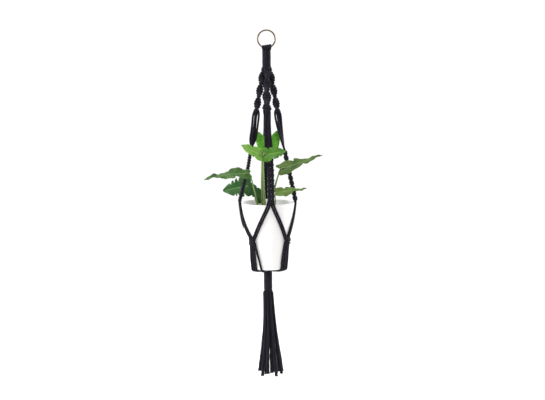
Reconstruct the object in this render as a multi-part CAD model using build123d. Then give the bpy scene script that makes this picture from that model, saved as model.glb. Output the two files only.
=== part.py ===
"""Hanging macrame planter: a cotton hanger knotted on a ring, with a pot and a leafy plant in it.

Millimetres, +Z up. The origin is where the ring rests on its hook, at the inner top of the ring.
The legs stand at the front (-Y), right (+X), back (+Y) and left (-X).
"""

from build123d import *
import math
import os

os.makedirs("parts", exist_ok=True)

# Ring
RING_WIRE = 4.0
RING_RADIUS = 22.5  # to the middle of the wire
RING_CENTRE_Z = RING_WIRE / 2 - RING_RADIUS
RING_FOOT_Z = RING_CENTRE_Z - RING_RADIUS  # middle of the wire at the bottom

# Cord
CORD = 5.5
CORD_PITCH = 5.6  # between cords that lie side by side
GAP = 0.3  # left between curved neighbours
ARC_SHARE = 0.45  # of the shorter run, taken by the arc at a corner
FOLD_WIDE, FOLD_THICK = 4.8, 3.0  # a cord flattened where it folds over the ring
FOLD_LAYERS = 2
FOLD_PLACES = (-1.5, -0.5, 0.5, 1.5)
FOLD_PITCH = 5.0

# Wraps
UPPER_WRAP_TOP, UPPER_WRAP_BOTTOM = -47.5, -95.0
LOWER_WRAP_TOP, LOWER_WRAP_BOTTOM = -619.0, -672.0
WRAP_RADIUS = 10.2
WRAP_BORE = 7.0
WRAP_TURN = 5.3
TURN_CROWN = 0.9  # how far a turn stands out from the groove beside it
CORE_RADIUS = WRAP_BORE - 0.05

# Legs: distance from the axis and height of points on each leg's middle line
LEG_ANGLES = {"front": -90, "right": 0, "back": 90, "left": 180}
LEG_TOP, SPIRAL_END, SENNIT_TOP, LEG_END = (8.3, -97.5), (27.2, -203.0), (45.0, -306.0), (73.0, -437.0)
LEFT_SENNIT_TOP, LEFT_BEND = (42.5, -306.0), (49.8, -348.0)
SENNIT_ROUTES = {
    "front": (SENNIT_TOP, LEG_END),
    "right": (SENNIT_TOP, LEG_END),
    "back": (SENNIT_TOP, LEG_END),
    "left": (LEFT_SENNIT_TOP, LEFT_BEND, LEG_END),
}
SPIRAL_BULGES = 3  # half turns of the spiral
BULGE_RADIUS, WAIST_RADIUS = 8.8, 5.0
FLAT_WIDE, FLAT_THICK = 20.5, 11.4
FLAT_CORNER, FLAT_EDGE = 4.6, 3.2

# Pot
RIM_Z, BASE_Z = -440.0, -611.0
RIM_RADIUS, BASE_RADIUS = 70.0, 50.0
POT_WALL, POT_FLOOR = 4.0, 6.0
BASE_EDGE, RIM_EDGE = 5.0, 1.6
SOIL_TOP = -462.0
SOIL_GAP = 0.1

# Cradle
KNOT_Z = -535.0
KNOT_WIDE, KNOT_TALL, KNOT_THICK = 20.5, 18.0, 11.0
CRADLE_STEPS = 5  # points along a pair, from the leg to the knot
PAIR_PITCH = 6.5  # across the slant of a pair
SPLIT_ACROSS, SPLIT_Z = 6.4, -443.0  # middle of a pair where the leg parts
JOIN_ACROSS = 6.2  # middle of a pair where it meets its knot
CORD_STAND = CORD / 2 + 2 * GAP  # from the pot's wall to the middle of a cord
HUB_RADIUS = 11.2
HUB_TOP = BASE_Z - GAP

# Tassel: the strands hang from a rounded end under the lower wrap
PIVOT_Z = LOWER_WRAP_BOTTOM + 8.0
KNOB_RADIUS = 13.0
STRAND = 5.2

TASSEL_LENGTH = 205.0
TASSEL_LEAN = 6.5  # the tips hang this far towards the right leg
TASSEL_STRETCH = 8.0

# Each strand's route before it leans and stretches, from the knob to its tip
TASSEL_ROUTES = (
    ((11.3, 0, -675.5), (12.2, 0.6, -722), (15.5, 1.5, -776), (21, 0.5, -828), (29.5, 2, -880)),
    ((9.1, 6.6, -675.5), (10.3, 7.6, -719), (12.5, 10.2, -770), (18.5, 12.8, -824), (24, 18.5, -884)),
    ((3.5, 10.7, -675.5), (4.2, 12.3, -724), (4.6, 16.4, -779), (8.2, 20.2, -830), (9.6, 27, -878)),
    ((-3.5, 10.7, -675.5), (-4.4, 12, -720), (-7, 14.8, -772), (-8.4, 20.6, -826), (-12.6, 26, -885)),
    ((-9.1, 6.6, -675.5), (-10.6, 7.4, -726), (-13.8, 9.4, -777), (-17, 13.6, -829), (-23.6, 16.6, -881)),
    ((-11.3, 0, -675.5), (-12.4, -0.8, -721), (-16.2, 0.4, -773), (-22.4, -1, -825), (-30.5, 0.6, -877)),
    ((-9.1, -6.6, -675.5), (-10.2, -7.8, -724), (-13, -9, -775), (-19.4, -13, -830), (-24.8, -17, -886)),
    ((-3.5, -10.7, -675.5), (-4.6, -12.2, -719), (-6, -15.6, -771), (-10.4, -19.6, -823), (-11.2, -27, -879)),
    ((3.5, -10.7, -675.5), (3.9, -12.4, -723), (5.8, -15.2, -778), (6.4, -21.2, -828), (10.8, -26.4, -886)),
    ((9.1, -6.6, -675.5), (10.5, -7.3, -720), (13.4, -9.6, -774), (17.8, -13.4, -827), (25.4, -16.4, -882)),
    ((5.7, 0, -677.4), (5.8, 0.3, -723), (7.6, 0.2, -777), (10.6, 1.6, -829), (15, 3, -883)),
    ((1.8, 5.4, -677.4), (1.9, 6, -720), (2.8, 8, -773), (3.2, 11.4, -826), (3.6, 15.8, -885)),
    ((-4.6, 3.3, -677.4), (-5.2, 3.6, -724), (-6.8, 4.2, -778), (-9.8, 5.6, -830), (-13.8, 8.6, -880)),
    ((-4.6, -3.3, -677.4), (-5, -3.8, -719), (-7.2, -4.4, -772), (-9.2, -7, -824), (-14.6, -8.2, -884)),
    ((1.8, -5.4, -677.4), (2.1, -6.2, -722), (2.4, -7.6, -775), (4.2, -10.8, -828), (4.4, -15.4, -878)),
    ((0, 0, -677.8), (0.3, -0.2, -721), (0.2, 0.6, -776), (0.6, 0.2, -827), (1.2, 1.4, -884)),
)

# Leaves: foot of the stalk, a bend, the blade's foot, its tip, its width, and which way its face looks
LEAF_THICK = 2.4
STALK = 3.4
STALK_FOOT_Z = SOIL_TOP + 1.4
LEAVES = {
    "leaf_1_top_left": ((-13, -5), (-21, -24, -392), (-25, -60, -321), (-66, -65, -291), 36, (0.1, -0.85, 0.5)),
    "leaf_2_top_right": ((-6, -8), (-16, -30, -400), (-19, -70, -327), (42, -73, -302), 36, (0.1, -0.85, 0.5)),
    "leaf_3_back": ((3, 10), (4, 17, -380), (4, 19, -312), (10, 22, -256), 58, (-0.2, -0.9, 0.25)),
    "leaf_4_left_high": ((-22, -6), (-36, -24, -408), (-56, -40, -362), (-166, -48, -371), 38, (-0.2, -0.6, 0.8)),
    "leaf_5_left_low": ((-20, 10), (-30, 22, -430), (-42, 29, -396), (-112, 34, -416), 54, (-0.1, -0.9, 0.4)),
    "leaf_6_centre_small": ((-14, 0), (-13, 1.5, -453), (-12, 2, -446), (-36, 0, -408), 22, (0.2, -0.95, 0.2)),
    "leaf_7_right_high": ((9, -6), (18, -20, -408), (34, -36, -352), (138, -42, -316), 34, (-0.3, -0.7, 0.65)),
    "leaf_8_right_low": ((14, -18), (17, -28, -438), (20, -36, -414), (97, -38, -400), 26, (-0.1, -0.7, 0.7)),
}


def around(angle, out, across, height):
    """A point out along the spoke at angle, across to its left, at a height."""
    a = math.radians(angle)
    east = out * math.cos(a) - across * math.sin(a)
    north = out * math.sin(a) + across * math.cos(a)
    return Vector(east, north, height)


def corner_radii(points):
    """The largest arc that the two runs at each corner allow."""
    radii = []
    for a, b, c in zip(points, points[1:], points[2:]):
        before, after = b - a, c - b
        half_turn = math.radians(before.get_angle(after)) / 2
        radii.append(ARC_SHARE * min(before.length, after.length) / math.tan(half_turn))
    return radii


def tube(points, diameter):
    """A cord's solid: straight runs joined by tangent arcs."""
    points = [Vector(p) for p in points]
    path = Line(*points) if len(points) == 2 else FilletPolyline(*points, radius=corner_radii(points))
    start = Plane(origin=path @ 0, z_dir=path % 0)
    return sweep(start * Circle(diameter / 2), path=path)


def pot_radius(height):
    """Outer radius of the pot at a height."""
    return BASE_RADIUS + (RIM_RADIUS - BASE_RADIUS) * (height - BASE_Z) / (RIM_Z - BASE_Z)


def ring():
    """A closed round-wire ring standing in the XZ plane."""
    upright = Plane(origin=(0, 0, RING_CENTRE_Z), z_dir=(0, 1, 0))
    return upright * Torus(RING_RADIUS, RING_WIRE / 2)


def ring_loops():
    """Eight cords folded over the bottom of the ring, four on the wire and four on those."""
    loops = []
    drop = RING_FOOT_Z - UPPER_WRAP_TOP
    for layer in range(FOLD_LAYERS):
        for place in FOLD_PLACES:
            x = place * FOLD_PITCH
            far_x = abs(x) + FOLD_WIDE / 2
            wire_rise = RING_RADIUS - math.sqrt(RING_RADIUS**2 - far_x**2)
            bend = RING_WIRE / 2 + wire_rise + FOLD_THICK * (layer + 0.5) + GAP * (1 + layer / 4)
            section = Pos(x, -bend, RING_FOOT_Z) * Ellipse(FOLD_WIDE / 2, FOLD_THICK / 2)
            arch = revolve(section, Axis((x, 0, RING_FOOT_Z), (1, 0, 0)), -180)
            front = extrude(section, -drop)
            back = extrude(Pos(0, 2 * bend, 0) * section, -drop)
            loops.append(arch + front + back)
    return loops


def core(top, bottom):
    """The sixteen strands pressed into one round bundle inside a wrap."""
    return Pos(0, 0, (top + bottom) / 2) * Cylinder(CORE_RADIUS, top - bottom)


def wrap(top, bottom):
    """A wrapping cord's close turns, as a sleeve with a ridge for each turn."""
    turns = round((top - bottom) / WRAP_TURN)
    step = (top - bottom) / turns
    groove = WRAP_RADIUS - TURN_CROWN
    ridges = Curve()
    for turn in range(turns):
        high = top - turn * step
        ridges += ThreePointArc((groove, high), (WRAP_RADIUS, high - step / 2), (groove, high - step))
    ends = Polyline((groove, bottom), (WRAP_BORE, bottom), (WRAP_BORE, top), (groove, top))
    profile = Plane.XZ * make_face([*ridges.edges(), *ends.edges()])
    return revolve(profile, Axis.Z)


def leg_plane(angle, out, height, lean):
    """A plane across a leg, its x across the leg and its z up along it; lean is run out per drop."""
    up = around(angle, -lean[0], 0, -lean[1])
    return Plane(origin=around(angle, out, 0, height), x_dir=around(angle, 0, 1, 0), z_dir=up)


def leg_spiral(angle):
    """A spiral sennit: half knots that wind round the leg, as a bulge for each half turn."""
    run_out, run_down = SPIRAL_END[0] - LEG_TOP[0], SPIRAL_END[1] - LEG_TOP[1]
    length = math.hypot(run_out, run_down)
    step = length / SPIRAL_BULGES
    side = Curve()
    for bulge in range(SPIRAL_BULGES):
        high = -bulge * step
        out = LEG_TOP[0] + run_out * (bulge + 0.5) / SPIRAL_BULGES
        crown = min(BULGE_RADIUS, 0.66 * out)  # a quarter of the round is all that a leg has
        side += ThreePointArc((WAIST_RADIUS, high), (crown, high - step / 2), (WAIST_RADIUS, high - step))
    ends = Polyline((WAIST_RADIUS, -length), (0, -length), (0, 0), (WAIST_RADIUS, 0))
    body = revolve(Plane.XZ * make_face([*side.edges(), *ends.edges()]), Axis.Z)
    return leg_plane(angle, *LEG_TOP, (run_out / length, run_down / length)) * body


def leg_cords(angle, bottom):
    """Four open cords: in a diamond under the spiral, in a row above the sennit."""
    top_out, top_z = SPIRAL_END
    low_out, low_z = bottom
    high, upper, lower, low = top_z - 2.6, top_z - 16, low_z + 42, low_z + 1.4
    upper_out = top_out + 0.14 * (top_z - upper)
    lower_out = low_out - 0.2 * (lower - low_z)
    routes = []
    for side in (1, -1):
        routes.append((
            (top_out + side * 4.6, 0, high),
            (upper_out + side * 7.4, side * 0.6, upper),
            (lower_out + side * 5.0, side * 7.8, lower),
            (low_out, side * 1.5 * CORD_PITCH, low),
        ))
        routes.append((
            (top_out, -side * 3.5, high),
            (upper_out, -side * 4.4, upper),
            (lower_out, -side * 2.85, lower),
            (low_out, -side * 0.5 * CORD_PITCH, low),
        ))
    return [tube([around(angle, *point) for point in route], CORD) for route in routes]


def leg_sennit(angle, route):
    """A flat sennit: square knots one under the other along the leg."""
    sennit = Part()
    for (out_a, z_a), (out_b, z_b) in zip(route, route[1:]):
        run = math.dist((out_a, z_a), (out_b, z_b))
        outline = RectangleRounded(FLAT_WIDE, FLAT_THICK, FLAT_CORNER)
        place = leg_plane(angle, out_a, z_a, ((out_b - out_a) / run, (z_b - z_a) / run))
        sennit += place * extrude(outline, -run)
    return sennit


def cradle_pair(leg_angle, side):
    """Two cords side by side over the pot's wall, from a leg to the knot on one side of it."""
    knot_top = KNOT_Z + KNOT_TALL / 2 + 2
    cords = []
    for place in (-0.5, 0.5):
        points = []
        for step in range(CRADLE_STEPS):
            share = step / (CRADLE_STEPS - 1)
            height = SPLIT_Z + share * (knot_top - SPLIT_Z)
            out = pot_radius(height) + CORD_STAND
            start = math.degrees((SPLIT_ACROSS + place * PAIR_PITCH) / out)
            end = 45 - math.degrees((JOIN_ACROSS - place * PAIR_PITCH) / out)
            turn = start + share * (end - start)
            points.append(around(leg_angle + side * turn, out, 0, height))
        cords.append(tube(points, CORD))
    return cords


def cradle_knot(angle):
    """The square knot that joins two legs, leaning with the pot's wall."""
    lean_out = (RIM_RADIUS - BASE_RADIUS) / (RIM_Z - BASE_Z)
    out = pot_radius(KNOT_Z) + KNOT_THICK / 2 + 2 * GAP
    outline = RectangleRounded(KNOT_WIDE, KNOT_THICK, FLAT_CORNER)
    knot = extrude(outline, KNOT_TALL / 2, both=True)
    knot = fillet(knot.faces().filter_by(Axis.Z).edges(), FLAT_EDGE)
    return leg_plane(angle, out, KNOT_Z, (-lean_out, -1)) * knot


def base_cords(angle, spread):
    """Four cords from a cradle knot down the wall, round the base's edge and in under the pot."""
    knot_foot = KNOT_Z - KNOT_TALL / 2 - GAP
    under = BASE_Z - CORD_STAND
    cords = []
    for place in (-1.5, -0.5, 0.5, 1.5):
        across = place * CORD_PITCH
        low_across = across + (spread if place == 1.5 else 0)
        wall = BASE_Z + 14
        wall_out = math.sqrt((pot_radius(wall) + CORD_STAND) ** 2 - low_across**2) + GAP
        top_out = math.sqrt((pot_radius(knot_foot) + CORD_STAND) ** 2 - across**2) + GAP
        edge_out = math.sqrt((BASE_RADIUS + CORD_STAND) ** 2 - low_across**2)
        points = [
            around(angle, top_out, across, knot_foot),
            around(angle, wall_out, low_across, wall),
            around(angle, edge_out + 0.7, low_across, BASE_Z + 1.5),
            around(angle, edge_out - 5.4, low_across, under - 0.4),
            around(angle, edge_out - 20, low_across * 0.8 + across * 0.2, under - 0.1),
            around(angle, HUB_RADIUS + 0.3, across, under - 0.2),
        ]
        cords.append(tube(points, CORD))
    return cords


def base_gather():
    """The strands drawn together under the pot, through the lower wrap, to a rounded end."""
    rounded = Pos(0, 0, PIVOT_Z) * Sphere(KNOB_RADIUS)
    cut_z = LOWER_WRAP_BOTTOM - 0.05
    knob = rounded & Pos(0, 0, cut_z - KNOB_RADIUS) * Box(60, 60, 2 * KNOB_RADIUS)
    hub_foot = LOWER_WRAP_TOP + 0.05
    hub = Pos(0, 0, (HUB_TOP + hub_foot) / 2) * Cylinder(HUB_RADIUS, HUB_TOP - hub_foot)
    return hub + core(hub_foot, cut_z) + knob


def hung(route):
    """A strand's route where it leans and stretches, more towards its tip."""
    line = []
    for x, y, z in route:
        share = (route[0][2] - z) / TASSEL_LENGTH
        lean = TASSEL_LEAN * math.sin(share * math.pi / 2)
        line.append((x + lean, y, z - TASSEL_STRETCH * share**2))
    return tuple(line)


def tapered(bottom_radius, top_radius, bottom, top):
    """A round solid that widens upwards."""
    return Pos(0, 0, (top + bottom) / 2) * Cone(bottom_radius, top_radius, top - bottom)


def pot():
    """A tapered pot with a rounded rim and base edge."""
    outside = tapered(BASE_RADIUS, RIM_RADIUS, BASE_Z, RIM_Z)
    floor = BASE_Z + POT_FLOOR
    inside = tapered(pot_radius(floor) - POT_WALL, pot_radius(RIM_Z + 1) - POT_WALL, floor, RIM_Z + 1)
    shell = outside - inside
    base_rim = shell.edges().group_by(Axis.Z)[0]
    shell = fillet(base_rim, BASE_EDGE)
    return fillet(shell.edges().group_by(Axis.Z)[-1], RIM_EDGE)


def soil():
    """Potting soil that fills the pot to below its rim."""
    foot = BASE_Z + POT_FLOOR + SOIL_GAP
    side_gap = POT_WALL + SOIL_GAP
    return tapered(pot_radius(foot) - side_gap, pot_radius(SOIL_TOP) - side_gap, foot, SOIL_TOP)


def leaf_blade(foot, tip, width, face):
    """A heart-shaped plate from its foot to its tip."""
    foot, tip = Vector(foot), Vector(tip)
    along = tip - foot
    length = along.length
    sideways = along.cross(Vector(face)).normalized()
    normal = sideways.cross(along).normalized()
    half = width / 2
    rim = [
        (0, 0), (-0.08 * length, 0.45 * half), (0.02 * length, 0.85 * half), (0.22 * length, half),
        (0.5 * length, 0.82 * half), (0.78 * length, 0.42 * half), (length, 0),
    ]
    far_rim = [(along_by, -across_by) for along_by, across_by in reversed(rim)]
    outline = make_face([Spline(*rim).edge(), Spline(*far_rim).edge()])
    place = Plane(origin=foot, x_dir=along.normalized(), z_dir=normal)
    return place * extrude(outline, LEAF_THICK / 2, both=True)


def leaf(stalk_foot, bend, blade_foot, tip, width, face):
    """A leaf: its stalk and its blade in one."""
    entry = Vector(blade_foot) + (Vector(tip) - Vector(blade_foot)).normalized() * STALK / 2
    stalk = tube([(*stalk_foot, STALK_FOOT_Z), bend, entry], STALK)
    return stalk + leaf_blade(blade_foot, tip, width, face)


def write(name, shape):
    """Writes one sub-part; a list becomes a group of separate solids."""
    items = shape if isinstance(shape, list) else [shape]
    solids = [solid for item in items for solid in item.solids()]
    export_step(solids[0] if len(solids) == 1 else Compound(solids), f"parts/{name}.step")


write("ring", ring())
write("ring_loops", ring_loops())
write("upper_core", core(UPPER_WRAP_TOP - 0.05, UPPER_WRAP_BOTTOM + 0.05))
write("upper_wrap", wrap(UPPER_WRAP_TOP, UPPER_WRAP_BOTTOM))
for side_number, (side_name, side_angle) in enumerate(LEG_ANGLES.items()):
    sennit_route = SENNIT_ROUTES[side_name]
    write(f"leg_spiral_{side_name}", leg_spiral(side_angle))
    write(f"leg_cords_{side_name}", leg_cords(side_angle, sennit_route[0]))
    write(f"leg_sennit_{side_name}", leg_sennit(side_angle, sennit_route))
    for pair_number, pair_side in enumerate((-1, 1)):
        write(f"cradle_pair_{2 * side_number + pair_number + 1:02d}", cradle_pair(side_angle, pair_side))
    write(f"cradle_knot_{side_number + 1}", cradle_knot(side_angle + 45))
    base_spread = 8.0 if side_number == 3 else 1.5
    write(f"base_cords_{side_number + 1}", base_cords(side_angle + 45, base_spread))
write("base_gather", base_gather())
write("lower_wrap", wrap(LOWER_WRAP_TOP, LOWER_WRAP_BOTTOM))
for strand_number, strand_route in enumerate(TASSEL_ROUTES):
    strand_line = hung(strand_route)
    write(f"tassel_strand_{strand_number + 1:02d}", tube(strand_line, STRAND))
    radii = [round(radius) for radius in corner_radii([Vector(p) for p in strand_line])]
    print("strand", strand_number + 1, "arc radii", radii)
write("pot", pot())
write("soil", soil())
for leaf_name, leaf_sizes in LEAVES.items():
    write(leaf_name, leaf(*leaf_sizes))
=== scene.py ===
"""The looks of a hanging macrame planter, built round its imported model. Metres, in the model's frame.

The legs stand at the front (-Y), right (+X), back (+Y) and left (-X).
"""

import math

import bpy
import numpy as np
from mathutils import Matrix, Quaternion, Vector


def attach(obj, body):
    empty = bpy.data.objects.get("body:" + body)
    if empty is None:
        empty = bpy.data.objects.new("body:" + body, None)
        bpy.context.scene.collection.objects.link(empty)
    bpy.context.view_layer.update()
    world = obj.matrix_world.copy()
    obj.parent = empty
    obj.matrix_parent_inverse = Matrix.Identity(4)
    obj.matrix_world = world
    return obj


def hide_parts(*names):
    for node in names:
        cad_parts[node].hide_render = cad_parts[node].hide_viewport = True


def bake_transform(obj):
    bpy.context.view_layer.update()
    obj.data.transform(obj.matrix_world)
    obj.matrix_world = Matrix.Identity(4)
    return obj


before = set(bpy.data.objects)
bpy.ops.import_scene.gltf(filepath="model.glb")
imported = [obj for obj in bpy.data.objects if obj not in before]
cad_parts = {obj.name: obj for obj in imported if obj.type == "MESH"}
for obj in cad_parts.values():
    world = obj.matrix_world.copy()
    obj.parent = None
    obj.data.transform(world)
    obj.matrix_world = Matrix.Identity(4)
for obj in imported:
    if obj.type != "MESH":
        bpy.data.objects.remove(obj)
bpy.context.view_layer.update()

MM = 0.001
CORD = 5.5 * MM
CORD_PITCH = 5.6 * MM
STRAND = 5.2 * MM
STRAND_SWELLING = ((0, 0.92), (0.1, 1.0), (0.45, 1.2), (0.8, 1.5), (1, 1.7))  # share of a strand, thickness
PLY_TWIST = 21 * MM  # length in which a cord's three plies turn once
PLY_GROOVE = 0.2  # depth of the groove between plies, as a share of the cord's radius
STEP = 1.5 * MM  # between a cord's sections
SIDES = 15

RING_FOOT_Z = -43 * MM
RING_RADIUS = 22.5 * MM
LOOP_CREST = -36.3 * MM  # middle line of the top layer of folded cords
LOOP_LAYER = 3.2 * MM  # from the top layer's middle line to the lower layer's
LOOP_PITCH = 5.9  # between folded cords, in millimetres
LOOP_TILT = 0.14  # how much the loops' crest rises to the right
UPPER_WRAP = (-47.5 * MM, -95 * MM)
LOWER_WRAP = (-619 * MM, -672 * MM)
WRAP_RADIUS = 11.3 * MM
WRAP_TURN = 5.3 * MM
WRAP_CORD_WIDE, WRAP_CORD_THICK = 5.7 * MM, 3.5 * MM

LEG_ANGLES = {"front": -90, "right": 0, "back": 90, "left": 180}
LEG_TOP, SPIRAL_END = (8.3 * MM, -97.5 * MM), (27.2 * MM, -203 * MM)
SENNIT_TOP, LEG_END = (45 * MM, -306 * MM), (73 * MM, -437 * MM)
LEFT_SENNIT_TOP, LEFT_BEND = (42.5 * MM, -306 * MM), (49.8 * MM, -348 * MM)
HALF_KNOTS = 19
# Each open cord's place out along its leg's spoke and across it, where a leg is seen from its side
OPEN_CORDS = ((-7.6 * MM, 0.6 * MM), (-2.6 * MM, -1.8 * MM), (2.5 * MM, 1.9 * MM), (7.6 * MM, -0.6 * MM))
# How far each cord of a side leg stands aside below the spiral, and over what share of its length
PARTED = {
    "left": ((0, 1.5 * MM, -0.1 * MM, 0.2 * MM), 0.2),
    "right": ((-0.2 * MM, 1.3 * MM, 0, 0), 0.13),
}
FRONT_SWAY = 2.2 * MM  # how far the front sennit bows to the right, and its open cords to the left
BULGE_PITCH = 32.8 * MM  # between the spiral's bulges
BULGE_Z = -199.5 * MM  # a bulge that is wide across its leg
SQUARE_KNOTS = 10
# How far a sennit's working cords stand off its face, how its half knots bunch in pairs and draw in between
SENNITS = {"left": (2.8 * MM, 0.05, 0.1), "right": (4.1 * MM, 0.2, 0.15)}
PLAIN_SENNIT = (3.3 * MM, 0.06, 0.07)

RIM_Z, BASE_Z = -440 * MM, -611 * MM
RIM_RADIUS, BASE_RADIUS = 70 * MM, 50 * MM
BASE_EDGE = 5 * MM
SOIL_TOP = -462 * MM
KNOT_Z = -535 * MM
KNOT_TALL = 18 * MM
KNOT_STAND = 6.1 * MM  # from the pot's wall to the middle of a cradle knot
PAIR_PITCH = 6.5 * MM
SPLIT_ACROSS, JOIN_ACROSS = 6.4 * MM, 6.2 * MM
SPLIT_Z = -443 * MM
PAIR_EASE = {"left": 1.7, "right": 1.05}  # how late a leg's pairs swing to their knots
PLAIN_EASE = 1.12
CORD_STAND = CORD / 2 + 0.4 * MM  # from the pot's wall to the middle of a cord

TASSEL_LENGTH, TASSEL_LEAN, TASSEL_STRETCH = 205.0, 6.5, 8.0  # millimetres

# Each free strand's route in millimetres before it leans and stretches, from the knob to its tip
TASSEL_ROUTES = (
    ((11.3, 0, -675.5), (12.2, 0.6, -722), (15.5, 1.5, -776), (21, 0.5, -828), (29.5, 2, -880)),
    ((9.1, 6.6, -675.5), (10.3, 7.6, -719), (12.5, 10.2, -770), (18.5, 12.8, -824), (24, 18.5, -884)),
    ((3.5, 10.7, -675.5), (4.2, 12.3, -724), (4.6, 16.4, -779), (8.2, 20.2, -830), (9.6, 27, -878)),
    ((-3.5, 10.7, -675.5), (-4.4, 12, -720), (-7, 14.8, -772), (-8.4, 20.6, -826), (-12.6, 26, -885)),
    ((-9.1, 6.6, -675.5), (-10.6, 7.4, -726), (-13.8, 9.4, -777), (-17, 13.6, -829), (-23.6, 16.6, -881)),
    ((-11.3, 0, -675.5), (-12.4, -0.8, -721), (-16.2, 0.4, -773), (-22.4, -1, -825), (-30.5, 0.6, -877)),
    ((-9.1, -6.6, -675.5), (-10.2, -7.8, -724), (-13, -9, -775), (-19.4, -13, -830), (-24.8, -17, -886)),
    ((-3.5, -10.7, -675.5), (-4.6, -12.2, -719), (-6, -15.6, -771), (-10.4, -19.6, -823), (-11.2, -27, -879)),
    ((3.5, -10.7, -675.5), (3.9, -12.4, -723), (5.8, -15.2, -778), (6.4, -21.2, -828), (10.8, -26.4, -886)),
    ((9.1, -6.6, -675.5), (10.5, -7.3, -720), (13.4, -9.6, -774), (17.8, -13.4, -827), (25.4, -16.4, -882)),
    ((5.7, 0, -677.4), (5.8, 0.3, -723), (7.6, 0.2, -777), (10.6, 1.6, -829), (15, 3, -883)),
    ((1.8, 5.4, -677.4), (1.9, 6, -720), (2.8, 8, -773), (3.2, 11.4, -826), (3.6, 15.8, -885)),
    ((-4.6, 3.3, -677.4), (-5.2, 3.6, -724), (-6.8, 4.2, -778), (-9.8, 5.6, -830), (-13.8, 8.6, -880)),
    ((-4.6, -3.3, -677.4), (-5, -3.8, -719), (-7.2, -4.4, -772), (-9.2, -7, -824), (-14.6, -8.2, -884)),
    ((1.8, -5.4, -677.4), (2.1, -6.2, -722), (2.4, -7.6, -775), (4.2, -10.8, -828), (4.4, -15.4, -878)),
    ((0, 0, -677.8), (0.3, -0.2, -721), (0.2, 0.6, -776), (0.6, 0.2, -827), (1.2, 1.4, -884)),
)

# Leaves in millimetres: stalk's foot, its bend, the blade's foot, its tip, its width, the way its face looks,
# then its green, how much its edge waves, how much it arches, its slits in each half, how narrow its outer
# half is, how far its lobes reach back past the stalk, and the stalk's thickness
LEAVES = {
    "leaf_1_top_left": ((-13, -5), (-17, -24, -392), (-21, -66, -313), (-74, -70, -285), 36,
                        (0.1, -0.85, 0.5), "light", 0.10, 0.02, 1, 0.0, 0.42, 5.6),
    "leaf_2_top_right": ((-7, -8), (-12, -30, -400), (-17, -70, -312), (40, -73, -302), 42,
                         (0.1, -0.85, 0.5), "fresh", 0.10, 0.04, 2, 0.0, 0.35, 5.0),
    "leaf_3_back": ((3, 10), (4, 17, -380), (4, 19, -279), (6, 16, -331), 68,
                    (-0.1, -0.95, 0.1), "bright", 0.05, 0.05, 0, 0.0, 0.95, 4.2),
    "leaf_4_left_high": ((-22, -6), (-36, -24, -408), (-50, -40, -362), (-166, -48, -372), 40,
                         (-0.2, -0.7, 0.75), "middle", 0.22, 0.20, 2, 0.3, 0.2, 4.2),
    "leaf_5_left_low": ((-20, 10), (-30, 22, -430), (-40, 27, -398), (-113, 32, -412), 64,
                        (-0.1, -0.9, 0.4), "dark", 0.06, 0.06, 3, 0.0, 0.2, 4.2),
    "leaf_6_centre_small": ((-14, 0), (-13, 1.5, -453), (-12, 2, -438), (-52, -6, -384), 34,
                            (0.2, -0.95, 0.2), "dark", 0.06, 0.05, 1, 0.0, 0.1, 4.2),
    "leaf_7_right_high": ((9, -6), (15, -20, -408), (30, -36, -352), (138, -42, -316), 42,
                          (-0.3, -0.75, 0.6), "olive", 0.16, 0.02, 1, 0.5, 0.3, 5.4),
    "leaf_8_right_low": ((14, -18), (17, -28, -438), (16, -36, -412), (97, -38, -402), 32,
                         (-0.1, -0.75, 0.65), "pale", 0.18, 0.02, 1, 0.5, 0.1, 3.6),
}


# ---------------------------------------------------------------- geometry helpers


def around(angle, out, across, height):
    """A point out along the spoke at angle, across to its left, at a height."""
    a = math.radians(angle)
    east = out * math.cos(a) - across * math.sin(a)
    north = out * math.sin(a) + across * math.cos(a)
    return np.array((east, north, height))


def unit(vectors):
    """Vectors of length one."""
    return vectors / np.maximum(np.linalg.norm(vectors, axis=-1, keepdims=True), 1e-12)


def smooth(points, samples):
    """A smooth line through points, as a Catmull-Rom spline."""
    p = np.asarray(points, float)
    p = np.vstack([2 * p[0] - p[1], p, 2 * p[-1] - p[-2]])
    t = np.linspace(0, 1, samples, endpoint=False)[:, None]
    runs = []
    for a, b, c, d in zip(p, p[1:], p[2:], p[3:]):
        runs.append(0.5 * (2 * b + (c - a) * t + (2 * a - 5 * b + 4 * c - d) * t**2
                           + (3 * b - a - 3 * c + d) * t**3))
    return np.vstack([*runs, p[-2]])


def pot_radius(height):
    """Outer radius of the pot at a height."""
    return BASE_RADIUS + (RIM_RADIUS - BASE_RADIUS) * (height - BASE_Z) / (RIM_Z - BASE_Z)


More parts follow.
